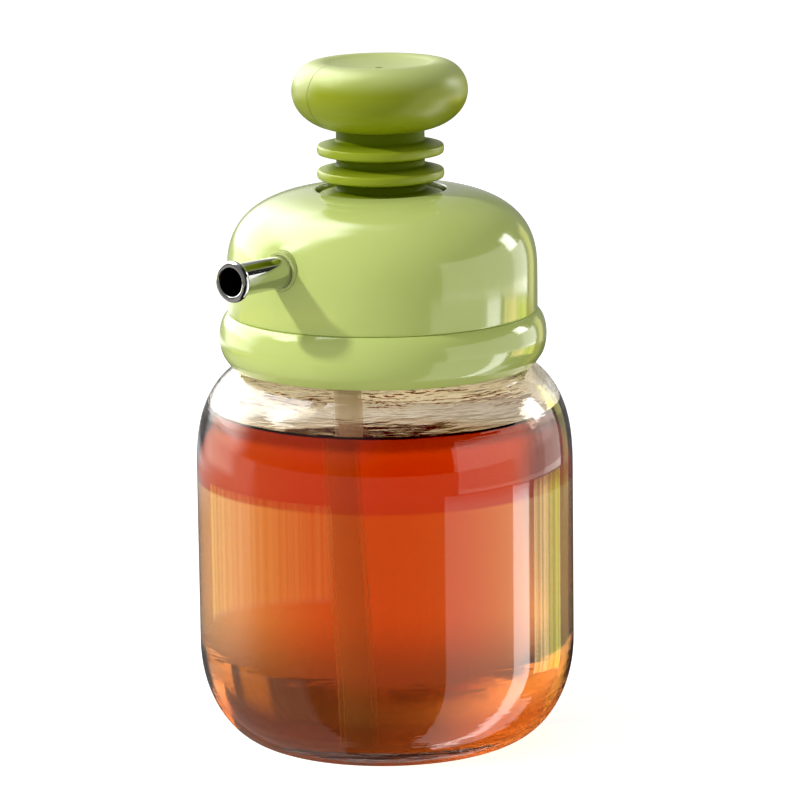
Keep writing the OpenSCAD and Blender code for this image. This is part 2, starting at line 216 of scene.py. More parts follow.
def select_only(piece: Piece) -> None:
    """Selects one object alone and makes it active."""
    bpy.ops.object.select_all(action="DESELECT")
    piece.select_set(True)
    bpy.context.view_layer.objects.active = piece


def settle(piece: Piece, corner: Corner) -> Piece:
    """Moves a piece's place into its mesh and shades it.

    Args:
        piece: The piece to finish.
        corner: Which of its edges stay sharp.

    Returns:
        The piece.
    """
    select_only(piece)
    bpy.ops.object.transform_apply(location=True, rotation=True, scale=True)
    bpy.ops.object.shade_smooth_by_angle(angle=math.radians(corner.value))
    return piece


def turned(name: str, outline: Outline, spindle: Spindle = UPRIGHT, steps: int = 160,
           ring: bool = False, corner: Corner = Corner.SOFT) -> Piece:
    """Models a turned piece: draws its outline by extruding one vertex, then spins it round.

    Args:
        name: Name of the piece.
        outline: The outline of half its section.
        spindle: The axis it is turned about.
        steps: Number of stretches round it.
        ring: True if the outline closes on itself, clear of the axis.
        corner: Which of its edges stay sharp.

    Returns:
        The new piece.
    """
    path = [spindle.place(*point) for point in outline.points()]
    if ring:
        path.append(path[0])
    bpy.ops.mesh.primitive_plane_add(size=MM, location=path[0])
    piece = bpy.context.object
    piece.name = piece.data.name = name
    bpy.ops.object.mode_set(mode="EDIT")
    bpy.ops.mesh.merge(type="CENTER")
    for here, there in zip(path, path[1:]):
        bpy.ops.mesh.extrude_region_move(TRANSFORM_OT_translate={"value": there - here})
    bpy.ops.mesh.select_all(action="SELECT")
    bpy.ops.mesh.spin(steps=steps, angle=math.tau, center=Vector(spindle.origin) * MM, axis=spindle.along)
    bpy.ops.mesh.select_all(action="SELECT")
    bpy.ops.mesh.remove_doubles(threshold=WELD)
    bpy.ops.mesh.normals_make_consistent(inside=False)
    bpy.ops.object.mode_set(mode="OBJECT")
    return settle(piece, corner)


def drill(piece: Piece, radius: float, start: Place, end: Place) -> None:
    """Drills a round hole through a piece.

    Args:
        piece: The piece that is drilled.
        radius: Radius of the hole in millimetres.
        start: Where the drill's axis starts, in millimetres.
        end: Where it ends.
    """
    run = Vector(end) - Vector(start)
    bpy.ops.mesh.primitive_cylinder_add(
        vertices=DRILL_STEPS, radius=radius * MM, depth=run.length * MM,
        location=(Vector(start) + run / 2) * MM, rotation=run.to_track_quat("Z", "Y").to_euler())
    bit = bpy.context.object
    select_only(piece)
    cut = piece.modifiers.new("drill", "BOOLEAN")
    cut.operation, cut.solver, cut.object = "DIFFERENCE", "EXACT", bit
    bpy.ops.object.modifier_apply(modifier=cut.name)
    bpy.data.objects.remove(bit)


# Shader maths


class Signal:
    """A shader socket that Python's operators work on."""

    def __init__(self, board: "Board", socket: bpy.types.NodeSocket) -> None:
        """Wraps one output socket of a node."""
        self.board, self.socket = board, socket

    def __add__(self, other: Any) -> "Signal":
        """Adds."""
        return self.board.compute("ADD", self, other)

    def __sub__(self, other: Any) -> "Signal":
        """Takes away."""
        return self.board.compute("SUBTRACT", self, other)

    def __rsub__(self, other: Any) -> "Signal":
        """Takes this from a number."""
        return self.board.compute("SUBTRACT", other, self)

    def __mul__(self, other: Any) -> "Signal":
        """Multiplies."""
        return self.board.compute("MULTIPLY", self, other)

    def __truediv__(self, other: Any) -> "Signal":
        """Divides."""
        return self.board.compute("DIVIDE", self, other)

    def __pow__(self, other: Any) -> "Signal":
        """Raises to a power."""
        return self.board.compute("POWER", self, other)

    __radd__ = __add__
    __rmul__ = __mul__


class Board:
    """The node tree of one material or of the world."""

    def __init__(self, owner: Any) -> None:
        """Clears the nodes of a material or a world."""
        owner.use_nodes = True
        self.owner, self.tree = owner, owner.node_tree
        self.tree.nodes.clear()

    def node(self, kind: str, settings: dict[str, Any] | None = None,
             inputs: dict[Any, Any] | None = None, output: str | int = 0) -> Signal | None:
        """Adds a node.

        Args:
            kind: The node's type.
            settings: Its settings, which are set first.
            inputs: Values or signals for its sockets, by name or number.
            output: The socket that the signal comes from.

        Returns:
            The output's signal, or None from a node that ends the tree.
        """
        made = self.tree.nodes.new(kind)
        for name, value in (settings or {}).items():
            setattr(made, name, value)
        for key, value in (inputs or {}).items():
            if isinstance(value, Signal):
                self.tree.links.new(value.socket, made.inputs[key])
            elif isinstance(value, tuple) and made.inputs[key].type == "RGBA":
                made.inputs[key].default_value = (*value, 1.0)
            else:
                made.inputs[key].default_value = value
        return Signal(self, made.outputs[output]) if made.outputs else None

    def compute(self, operation: str, *terms: Any) -> Signal:
        """Adds a Math node for an operation on its terms."""
        return self.node("ShaderNodeMath", {"operation": operation}, dict(enumerate(terms)))

    def spot(self, output: str = "Object") -> tuple[Signal, ...]:
        """Gives the coordinates of the point that is shaded, in metres, or of the way a ray goes."""
        place = self.node("ShaderNodeTexCoord", output=output)
        return tuple(self.node("ShaderNodeSeparateXYZ", inputs={0: place}, output=axis) for axis in "XYZ")

    def noise(self, blotches: float, detail: float, stretch: Place = EVEN, warp: float = 0.0) -> Signal:
        """Gives a soft noise from 0 to 1.

        Args:
            blotches: Number of blotches in a metre.
            detail: Number of finer layers.
            stretch: Further scale along each axis.
            warp: How much the noise is bent by itself.

        Returns:
            The noise.
        """
        place = self.node("ShaderNodeMapping", inputs={
            "Vector": self.node("ShaderNodeTexCoord", output="Object"), "Scale": stretch})
        return self.node("ShaderNodeTexNoise", inputs={
            "Vector": place, "Scale": blotches, "Detail": detail, "Roughness": NOISE_ROUGHNESS,
            "Distortion": warp})

    def mix(self, share: Any, low: Any, high: Any) -> Signal:
        """Mixes two colours by a share."""
        return self.node("ShaderNodeMix", {"data_type": "RGBA"},
                         {0: share, COLOUR_LOW: low, COLOUR_HIGH: high}, COLOUR_OUT)

    def blend(self, share: Any, first: Signal, second: Signal) -> Signal:
        """Mixes two shaders by a share."""
        return self.node("ShaderNodeMixShader", inputs={0: share, 1: first, 2: second})

    def ramp(self, value: Signal, low: float, high: float, to_low: float = 0.0,
             to_high: float = 1.0) -> Signal:
        """Maps one range of a value on to another, smoothly, and stops at its ends."""
        return self.node("ShaderNodeMapRange", {"interpolation_type": "SMOOTHSTEP"},
                         {0: value, 1: low, 2: high, 3: to_low, 4: to_high})

    def ramp_mm(self, value: Signal, low: float, high: float, *to: float) -> Signal:
        """Maps a range of lengths in millimetres on to another range, as ramp does."""
        return self.ramp(value, low * MM, high * MM, *to)

    def spread(self, noise: Signal, *to: float) -> Signal:
        """Maps the range where most of a noise lies on to another range, as ramp does."""
        return self.ramp(noise, *NOISE_SPREAD, *to)

    def window(self, angle: Signal, start: float, end: float, edge: float) -> Signal:
        """Gives 1 between two angles in degrees and 0 past them, with soft edges of a width."""
        half = edge / 2
        return self.ramp(angle, start - half, start + half) - self.ramp(angle, end - half, end + half)

    def bump(self, height: Signal, depth: float, **under: Signal) -> Signal:
        """Turns a height from 0 to 1 into a bumped normal, whose full step is depth millimetres."""
        return self.node("ShaderNodeBump", inputs={"Height": height, "Distance": depth * MM, **under})

    def ray(self, *kinds: Ray) -> Signal:
        """Gives 1 for rays of any of some kinds, and otherwise 0."""
        found = [self.node("ShaderNodeLightPath", output=kind.value) for kind in kinds]
        total = found[0]
        for other in found[1:]:
            total = self.compute("MAXIMUM", total, other)
        return total

    def mirrored(self) -> Signal:
        """Gives 1 for rays that a polished surface or the glass has thrown back, and otherwise 0."""
        return self.compute("GREATER_THAN", self.node("ShaderNodeLightPath", output="Glossy Depth"), 0.5)

    def lit_through(self, shader: Signal, tint: Colour) -> Signal:
        """Lets shadow and diffuse rays straight through a glassy shader, so that the lamp shines in."""
        clear = self.node("ShaderNodeBsdfTransparent", inputs={"Color": tint})
        return self.blend(self.ray(Ray.SHADOW, Ray.DIFFUSE), shader, clear)

    def finish(self, surface: Signal, volume: Signal | None = None) -> None:
        """Ends the tree in a surface shader and, for a filled piece, a volume."""
        ends = {"Surface": surface}
        if volume:
            ends["Volume"] = volume
        kind = "World" if isinstance(self.owner, bpy.types.World) else "Material"
        self.node(f"ShaderNodeOutput{kind}", inputs=ends)


# Finishes


@dataclass(frozen=True)
class Finish:
    """A surface finish that makes its own material."""

    label: str

    def shade(self, board: Board) -> None:
        """Builds the nodes of the finish."""
        raise NotImplementedError

    def material(self) -> bpy.types.Material:
        """Makes the finish's material, or gives the one that was made before."""
        made = bpy.data.materials.get(self.label)
        if made is None:
            made = bpy.data.materials.new(self.label)
            self.shade(Board(made))
        return made


@dataclass(frozen=True)
class ClearGlass(Finish):
    """Thick pressed glass, clear to the lamp and wavy, with a painted warm reflection of the oil round
    its shoulder and painted shade from the lid round its neck.
    """

    refraction: float = 1.5
    tint: Colour = (0.985, 0.992, 0.985)
    # Painted reflection: the oil's warm light, painted into the glass just above the oil and paling
    # higher up
    oil_reflection_tint: Colour = (0.9, 0.68, 0.42)
    oil_reflection_edge: Point = (72.6, 73.2)
    oil_reflection_range: Point = (72.6, 77.0)
    pale_reflection_tint: Colour = (1.0, 0.94, 0.82)
    # Painted shade: the lid's shadow, painted into the glass round the neck and clearing again above it
    lid_shade_tint: Colour = (0.7, 0.6, 0.41)
    lid_shade_range: Point = (77.5, 81.5)
    clear_range: Point = (84.0, 85.5)
    calm: float = 0.5
    calm_start: Point = (59.0, 62.0)
    calm_end: Point = (73.0, 74.0)
    ripples: Texture = (60.0, 3.0, (1.0, 1.0, 9.0), 0.4)
    swell: Texture = (35.0, 1.0, (1.0, 1.0, 3.0), 0.0)
    wavy_range: Point = (66.0, 82.0)
    wave_depth: float = 0.16
    foot_range: Point = (6.0, 24.0)
    foot_waves: float = 0.7

    def shade(self, board: Board) -> None:
        """Builds the nodes of the finish."""
        _, _, height = board.spot()
        waviness = board.ramp_mm(height, *self.wavy_range)
        waviness = waviness + board.ramp_mm(height, *self.foot_range, self.foot_waves, 0.0)
        waves = board.noise(*self.ripples) + board.noise(*self.swell)
        # Painted reflection of the oil above its surface, then painted shade from the lid round the neck
        tone = board.mix(board.ramp_mm(height, *self.oil_reflection_edge), self.tint, self.oil_reflection_tint)
        tone = board.mix(board.ramp_mm(height, *self.oil_reflection_range), tone, self.pale_reflection_tint)
        tone = board.mix(board.ramp_mm(height, *self.lid_shade_range), tone, self.lid_shade_tint)
        tone = board.mix(board.ramp_mm(height, *self.clear_range), tone, self.tint)
        glass = board.node("ShaderNodeBsdfPrincipled", inputs={
            "Base Color": tone, "Roughness": 0.0, "IOR": self.refraction, "Transmission Weight": 1.0,
            "Normal": board.bump(waves * waviness, self.wave_depth)})
        plain = board.node("ShaderNodeBsdfRefraction", inputs={
            "Color": self.tint, "Roughness": 0.0, "IOR": self.refraction})
        calm = board.ramp_mm(height, *self.calm_start, 0.0, self.calm)
        calm = calm * board.ramp_mm(height, *self.calm_end, 1.0, 0.0)
        board.finish(board.lit_through(board.blend(calm, glass, plain), self.tint))


@dataclass(frozen=True)
class AmberOil(Finish):
    """Clear amber oil: the deeper it is, the more blue and green it takes out of the light."""

    refraction: float = 1.47
    density: float = 37.0
    passes: Colour = (0.932, 0.595, 0.0)
    heart: Colour = (0.72, 0.17, 0.008)
    heart_edge: float = 0.2
    # Painted shade: the oil darkens towards the bottom, where the jar stands in its own shadow on the
    # floor
    bottom_shade: Colour = (0.18, 0.06, 0.018)
    bottom_shade_range: Point = (10.0, 25.0)
    # Painted reflection: a deeper red band below the top of the oil, for its surface seen from below
    surface_reflection_band: Colour = (0.58, 0.055, 0.015)
    surface_reflection_range: Point = (57.6, 58.4)
    # Painted shade: a dark line along the top edge of the oil, at its meniscus
    rim: Colour = (0.2, 0.015, 0.01)
    meniscus_shade_range: Point = (70.0, 71.8)

    def shade(self, board: Board) -> None:
        """Builds the nodes of the finish."""
        _, _, height = board.spot()
        facing = board.node("ShaderNodeLayerWeight", output="Facing")
        tone = board.mix(board.ramp(facing, 0.0, self.heart_edge), self.heart, WHITE_LIGHT)
        # Painted shade towards the bottom of the oil
        tone = board.mix(board.ramp_mm(height, *self.bottom_shade_range), self.bottom_shade, tone)
        # Painted reflection of the oil's surface, seen from below
        tone = board.mix(board.ramp_mm(height, *self.surface_reflection_range), tone, self.surface_reflection_band)
        # Painted shade along the meniscus
        tone = board.mix(board.ramp_mm(height, *self.meniscus_shade_range), tone, self.rim)
        oil = board.node("ShaderNodeBsdfPrincipled", inputs={
            "Base Color": tone, "Roughness": 0.0, "IOR": self.refraction, "Transmission Weight": 1.0})
        depth = board.node("ShaderNodeVolumeAbsorption", inputs={
            "Color": self.passes, "Density": self.density})
        board.finish(board.lit_through(oil, WHITE_LIGHT), depth)


@dataclass(frozen=True)
class ThinTube(Finish):
    """Thin milky tube, clear where it faces the eye, denser along its edges and above the oil."""

    colour: Colour = (0.82, 0.73, 0.53)
    dry_colour: Colour = (1.0, 0.96, 0.84)
    body: float = 0.16
    dry_body: float = 0.45
    rim: float = 0.88
    rim_from: float = 0.6
    dry_range: Point = (72.6, 73.4)
    lines: Texture = (700.0, FINE, (1.0, 1.0, 0.05), 0.0)
    line_depth: float = 0.004
    roughness: Point = (0.25, 0.35)

    def shade(self, board: Board) -> None:
        """Builds the nodes of the finish."""
        facing = board.node("ShaderNodeLayerWeight", output="Facing")
        lines = board.noise(*self.lines)
        _, _, height = board.spot()
        dry = board.ramp_mm(height, *self.dry_range)
        body = board.ramp_mm(height, *self.dry_range, self.body, self.dry_body)
        clear = board.node("ShaderNodeBsdfTransparent", inputs={"Color": WHITE_LIGHT})
        milk = board.node("ShaderNodeBsdfPrincipled", inputs={
            "Base Color": board.mix(dry, self.colour, self.dry_colour),
            "Roughness": board.spread(lines, *self.roughness),
            "Normal": board.bump(lines, self.line_depth)})
        share = body + (self.rim - body) * board.ramp(facing, self.rim_from, 1.0)
        board.finish(board.blend(share, clear, milk))


@dataclass(frozen=True)
class Moulding(Finish):
    """Moulded plastic or rubber: one colour with faint clouds, and fine grain."""

    colour: Colour
    cloud: Colour
    roughness: float = 0.4
    sheen_gap: float = 0.06
    grain: float = 2600.0
    grain_depth: float = 0.01
    coat: float = 0.0
    coat_roughness: float = 0.04
    clear: float = 0.0
    gloss: float = 0.5
    clouds: Texture = (45.0, 4.0, EVEN, 0.0)

    def shade(self, board: Board) -> None:
        """Builds the nodes of the finish."""
        fine = board.noise(self.grain, FINE)
        dull, shiny = self.roughness + self.sheen_gap, self.roughness - self.sheen_gap
        board.finish(board.node("ShaderNodeBsdfPrincipled", inputs={
            "Base Color": self.tone(board), "Roughness": board.spread(fine, shiny, dull),
            "Coat Weight": self.skin(board), "Coat Roughness": self.coat_roughness,
            "Transmission Weight": self.clear, "Specular IOR Level": self.gloss,
            "Normal": self.relief(board, fine)}))

    def tone(self, board: Board) -> Signal:
        """Gives the colour with its faint clouds."""
        return board.mix(board.spread(board.noise(*self.clouds)), self.colour, self.cloud)

    def skin(self, board: Board) -> Signal | float:
        """Gives how much of a glossy skin lies over the colour."""
        return self.coat

    def relief(self, board: Board, fine: Signal) -> Signal:
        """Gives the surface its fine grain."""
        return board.bump(fine, self.grain_depth)


@dataclass(frozen=True)
class SoftMoulding(Moulding):
    """The button's silicone: its grain, a fine mould line up one side of the ring, and a painted sheen
    that makes its top paler.
    """

    line_azimuth: float = -104.0
    line_edge: Point = (0.22 / 3, 0.22)
    line_depth: float = 0.25
    line_foot: Point = (136.5, 137.5)
    line_end: Point = (11.0, 11.6)
    wobble: float = 0.6
    wobbles: float = 160.0
    # Painted sheen: the top of the button is painted paler
    crown_sheen: Colour = (0.52, 0.6, 0.19)
    crown_sheen_range: Point = (143.5, 148.6)

    def tone(self, board: Board) -> Signal:
        """Gives the colour, with a painted sheen that makes the top paler."""
        _, _, height = board.spot()
        high = board.ramp_mm(height, *self.crown_sheen_range)
        return board.mix(high, super().tone(board), self.crown_sheen)

    def relief(self, board: Board, fine: Signal) -> Signal:
        """Gives the surface its fine grain and the mould line."""
        east, north, height = board.spot()
        turn = math.radians(self.line_azimuth)
        wobble = (board.noise(self.wobbles, 1.0) - 0.5) * self.wobble * MM
        aside = board.compute("ABSOLUTE", east * math.sin(turn) - north * math.cos(turn) + wobble)
        ahead = board.ramp_mm(east * math.cos(turn) + north * math.sin(turn), *self.line_end)
        line = (1.0 - board.ramp_mm(aside, *self.line_edge)) * ahead
        line = line * board.ramp_mm(height, *self.line_foot)
        return board.bump(1.0 - line, self.line_depth, Normal=board.bump(fine, self.grain_depth))


@dataclass(frozen=True)
class FoldedMoulding(Moulding):
    """Silicone in folds, darkened towards the neck by painted shade down between the ribs, and shining on
    their rims.
    """

    # Painted shade: the folds darken towards the neck, down between the ribs
    groove_shade: Colour = (0.13, 0.185, 0.0)
    rib_range: Point = (9.6, 13.0)

    def out(self, board: Board) -> Signal:
        """Gives how far out a point is, from 0 down between the ribs to 1 at the rim."""
        east, north, _ = board.spot()
        return board.ramp_mm((east * east + north * north) ** 0.5, *self.rib_range)

    def tone(self, board: Board) -> Signal:
        """Gives the colour, darkened towards the neck by painted shade."""
        return board.mix(self.out(board), self.groove_shade, super().tone(board))

    def skin(self, board: Board) -> Signal | float:
        """Gives the rims their shine."""
        return self.out(board) * self.coat


@dataclass(frozen=True)
class PolishedSteel(Finish):
    """Polished stainless tube, drawn along Y, whose dull bore is darkened by painted shade."""

    bore_radius: float
    axis_height: float
    colour: Colour = (0.56, 0.57, 0.58)
    # Painted shade: the bore is painted nearly black
    bore_shade_colour: Colour = (0.02, 0.018, 0.016)
    bore_roughness: float = 0.35
    bore_shade_edge: Point = (0.05, 0.25)
    lines: Texture = (900.0, FINE, (1.0, 0.03, 1.0), 0.0)
    line_depth: float = 0.004
    roughness: Point = (0.05, 0.11)

    def shade(self, board: Board) -> None:
        """Builds the nodes of the finish."""
        across, _, height = board.spot()
        up = height - self.axis_height * MM
        radius = (across * across + up * up) ** 0.5
        # Painted shade darkens the bore
        bore = 1.0 - board.ramp_mm(radius, *(self.bore_radius + edge for edge in self.bore_shade_edge))
        lines = board.noise(*self.lines)
        board.finish(board.node("ShaderNodeBsdfPrincipled", inputs={
            "Base Color": board.mix(bore, self.colour, self.bore_shade_colour), "Metallic": 1.0,
            "Roughness": board.spread(lines, *self.roughness) + bore * self.bore_roughness,
            "Normal": board.bump(lines, self.line_depth)}))


BODIES = {node: body for body, nodes in frame["record"]["behaviour"]["bodies"].items() for node in nodes}

GLASS = ClearGlass("clear_glass")
OIL = AmberOil("amber_oil")
PALE_GREEN = Moulding("glossy_pale_green", (0.58, 0.685, 0.19), (0.6, 0.705, 0.21), 0.12,
                      sheen_gap=0.02, grain=1400.0, grain_depth=0.002, coat=0.12)
FOLD_GREEN = FoldedMoulding("bellows_green_silicone", (0.3, 0.37, 0.01), (0.32, 0.39, 0.02), 0.42,
                            coat=0.6, coat_roughness=0.3, gloss=0.05)
SOFT_GREEN = SoftMoulding("button_green_silicone", (0.265, 0.32, 0.001), (0.285, 0.34, 0.004), 0.36,
                          sheen_gap=0.05, grain=1500.0, grain_depth=0.02)
WHITE = Moulding("moulded_white_plastic", (0.84, 0.86, 0.8), (0.88, 0.9, 0.84), 0.36)
MILKY = ThinTube("milky_tube_plastic")
SILICONE = Moulding("clear_silicone_rubber", (0.82, 0.86, 0.8), (0.87, 0.9, 0.85), 0.42, clear=0.3)
BLACK = Moulding("black_seal_rubber", (0.03, 0.03, 0.03), (0.045, 0.045, 0.045), 0.55)
OLIVE = Moulding("olive_grommet_silicone", (0.46, 0.54, 0.16), (0.5, 0.58, 0.19), 0.28)


def dress(piece: Piece, finish: Finish) -> None:
    """Gives a piece or a CAD node its finish."""
    piece.data.materials.clear()
    piece.data.materials.append(finish.material())
    LOG.info("%s wears %s", piece.name, finish.label)


def stand_for(piece: Piece, node: str, finish: Finish) -> None:
    """Lets a finished piece stand for a CAD node: dresses it, puts it on the node's body and hides the
    node.

    Args:
        piece: The finished piece.
        node: The CAD node it replaces.
        finish: The finish it wears.
    """
    dress(piece, finish)
    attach(piece, BODIES[node])
    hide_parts(node)


# The jar and its oil


@dataclass
class Jar:
    """The thick glass jar and the oil in it."""

    steps: int = 192
    radius: float = box_mm("glass_jar")[1].x
    rim: float = box_mm("glass_jar")[1].z
    oil_top: float = box_mm("oil_fill")[1].z
    foot: float = 26.0
    neck: float = 29.5
    wall: float = 3.2
    floor: float = 6.0
    straight_from: float = 22.0
    straight_to: float = 60.0
    shoulder_in: float = 20.0
    shoulder_rise: float = 25.3
    squareness: float = 2.6
    rim_bend: float = 1.2
    neck_bend: float = 2.4
    neck_bend_room: float = 6.0
    into_glass: float = 0.05
    meniscus: float = 0.9
    meniscus_in_and_down: tuple[Point, Point] = ((0.15, 0.5), (0.5, 0.75))
    meniscus_bend: float = 0.3
    meniscus_width: float = 1.6
    meniscus_foot_bend: float = 0.9

    def shoulder(self, inset: float) -> Arch:
        """Gives the shoulder's curve, or one inside it by an inset."""
        reach = (self.radius - self.shoulder_in - inset, self.shoulder_rise - inset)
        return Arch((self.shoulder_in, self.straight_to), reach, self.squareness)

    def side(self, inset: float, floor: float, end: float) -> Outline:
        """Draws the jar's side, or one inside it, from the middle of its foot up its shoulder.

        Args:
            inset: How far it lies inside the jar's outer side.
            floor: Height of the foot.
            end: Angle on the shoulder's curve to stop at.

        Returns:
            The outline.
        """
        corner = Arch((self.foot, self.straight_from),
                      (self.radius - self.foot - inset, self.straight_from - floor))
        outline = Outline().to(0.0, floor).to(self.foot / 2, floor).along(corner, -90.0, 0.0, steps=20)
        return outline.along(self.shoulder(inset), 0.0, end, steps=24)

    def up_to_neck(self, inset: float, floor: float, neck: float) -> Outline:
        """Draws a side from the foot to the neck, with a soft bend between shoulder and neck."""
        shoulder = self.shoulder(inset)
        end = shoulder.angle_at_radius(neck)
        return self.side(inset, floor, end - self.neck_bend_room).to(*shoulder.point(end), self.neck_bend)

    def build_glass(self) -> None:
        """Builds the jar: outside, over the rim and down the inside."""
        outline = self.up_to_neck(0.0, 0.0, self.neck).to(self.neck, self.rim, self.rim_bend)
        outline.to(self.neck - self.wall, self.rim, self.rim_bend)
        outline.back_along(self.up_to_neck(self.wall, self.floor, self.neck - self.wall))
        stand_for(turned("jar_glass", outline, steps=self.steps), "glass_jar", GLASS)

    def build_oil(self) -> None:
        """Builds the oil, a hair into the glass, with the edge of its surface drawn up the glass."""
        inset = self.wall - self.into_glass
        edge = self.oil_top + self.meniscus
        end = self.shoulder(inset).angle_at_height(edge)
        brim = self.shoulder(inset).point(end)[0]
        outline = self.side(inset, self.floor - self.into_glass, end)
        (top_in, top_down), (low_in, low_down) = self.meniscus_in_and_down
        outline.to(brim - top_in, edge - top_down).to(brim - low_in, edge - low_down, self.meniscus_bend)
        outline.to(brim - self.meniscus_width, self.oil_top, self.meniscus_foot_bend)
        outline.to(0.0, self.oil_top)
        stand_for(turned("oil_pool", outline, steps=self.steps), "oil_fill", OIL)

    def build(self) -> None:
        """Builds both pieces."""
        self.build_glass()
        self.build_oil()


# The lid


@dataclass
class Lid:
    """The shells of the lid: the collar with its fat bead, and the dome with its two holes."""

    radius: float = box_mm("dome_cover")[1].x
    seam: float = box_mm("dome_cover")[0].z
    top: float = box_mm("dome_cover")[1].z
    skirt: float = box_mm("collar")[0].z
    collar_top: float = box_mm("collar")[1].z
    bead_radius: float = box_mm("collar")[1].x
    spout_height: float = (box_mm("spout")[0].z + box_mm("spout")[1].z) / 2
    wall: float = 2.0
    wall_height: float = 8.3
    dome_in: float = 8.0
    dome_rise: float = 18.3
    squareness: float = 2.6
    hole: float = 14.05
    hole_bends: Point = (0.45, 0.3)
    outer_bend_room: float = 1.5
    inner_bend_room: float = 0.6
    side_hole: float = 4.3
    side_drill_room: float = 5.0
    seam_bend: float = 0.55
    small_bend: float = 0.2
    skirt_bends: Point = (0.4, 0.3)
    skirt_in: float = 0.4
    collar_play: float = 0.4
    upstand_play: float = 0.1
    upstand_wall: float = 0.75
    ledge: Point = (1.2, 1.8)
    bead_root: float = 0.6
    bead_middle: float = 0.53
    bead_half: float = 0.46
    bead_turn: float = 60.0

    def build_collar(self) -> None:
        """Builds the collar: skirt, bead, upstand and the ledge on the rim."""
        bore = self.radius - self.wall - self.collar_play
        ledge, under_ledge = bore - self.ledge[0], self.seam - self.ledge[1]
        outer = self.radius - self.wall - self.upstand_play
        inner = outer - self.upstand_wall
        height = self.seam - self.skirt
        bead = Arch((self.radius - self.bead_root, self.skirt + self.bead_middle * height),
                    (self.bead_radius - self.radius + self.bead_root, self.bead_half * height))
        outline = Outline().to(ledge, under_ledge).to(bore, under_ledge)
        outline.to(bore, self.skirt, self.skirt_bends[0])
        outline.to(self.radius - self.skirt_in, self.skirt, self.skirt_bends[1])
        outline.along(bead, -self.bead_turn, self.bead_turn, steps=18)
        outline.to(self.radius, self.seam, self.seam_bend)
        outline.to(outer, self.seam).to(outer, self.collar_top, self.small_bend)
        outline.to(inner, self.collar_top, self.small_bend).to(inner, self.seam).to(ledge, self.seam)
        stand_for(turned("lid_collar", outline, ring=True, steps=192), "collar", PALE_GREEN)

    def build_dome(self) -> None:
        """Builds the dome and drills the hole for the spout."""
        middle = (self.dome_in, self.seam + self.wall_height)
        reach, inner = self.radius - self.dome_in, self.radius - self.wall
        outside = Arch(middle, (reach, self.dome_rise), self.squareness)
        inside = Arch(middle, (reach - self.wall, self.dome_rise - self.wall), self.squareness)
        end = outside.angle_at_radius(self.hole)
        outline = Outline().to(inner, self.seam).to(self.radius, self.seam, self.seam_bend)
        outline.along(outside, 0.0, end - self.outer_bend_room, steps=40)
        outline.to(*outside.point(end), self.hole_bends[0])
        outline.to(*inside.point(inside.angle_at_radius(self.hole)), self.hole_bends[1])
        start = inside.angle_at_radius(self.hole + self.inner_bend_room)
        outline.along(inside, start, 0.0, steps=30)
        dome = turned("lid_dome", outline, ring=True, steps=256)
        drill(dome, self.side_hole, (0.0, -self.dome_in, self.spout_height),
              (0.0, -self.radius - self.side_drill_room, self.spout_height))
        stand_for(settle(dome, Corner.SOFT), "dome_cover", PALE_GREEN)

    def build(self) -> None:
        """Builds both shells."""
        self.build_collar()
        self.build_dome()


@dataclass
class Bellows:
    """The ribbed silicone neck, which folds up as the button goes down."""

    foot: float = box_mm("bellows")[0].z
    top: float = box_mm("bellows")[1].z
    foot_radius: float = box_mm("bellows")[1].x
    foot_height: float = 1.2
    foot_bends: Point = (0.2, 0.1)
    rib_radius: float = 13.72
    neck_radius: float = 9.55
    bore: float = 8.5
    rib_root: float = 1.95
    rim_half: float = 1.03
    rim_reach: float = 0.75
    rim_squareness: float = 2.8
    rim_turn: float = 86.0
    root_bend: float = 0.5
    first_rib: float = 119.494
    rib_pitch: float = 5.325
    ribs: int = 3
    slack: float = 0.015

    def pressed_share(self) -> float:
        """Gives how high the bellows is when the button is down, as a share of its height at rest."""
        joints = frame["record"]["behaviour"]["joints"]
        press = next(joint for joint in joints if joint["name"] == "button_press")
        return 1.0 - press["range_m"][1] / MM / (self.top - self.foot) - self.slack

    def build(self) -> None:
        """Builds the bellows and gives it a mesh of its own."""
        outline = Outline().to(self.bore, self.foot).to(self.foot_radius, self.foot)
        for radius, bend in zip((self.foot_radius, self.neck_radius), self.foot_bends):
            outline.to(radius, self.foot + self.foot_height, bend)
        for i in range(self.ribs):
            middle = self.first_rib + i * self.rib_pitch
            rim = Arch((self.rib_radius - self.rim_reach, middle), (self.rim_reach, self.rim_half),
                       self.rim_squareness)
            outline.to(self.neck_radius, middle - self.rib_root, self.root_bend)
            outline.along(rim, -self.rim_turn, self.rim_turn)
            outline.to(self.neck_radius, middle + self.rib_root, self.root_bend)
        outline.to(self.neck_radius, self.top).to(self.bore, self.top)
        bellows = turned("neck_bellows", outline, ring=True, corner=Corner.CRISP)
        stand_for(bellows, "bellows", FOLD_GREEN)
        self.pressed_share()
        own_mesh(bellows)


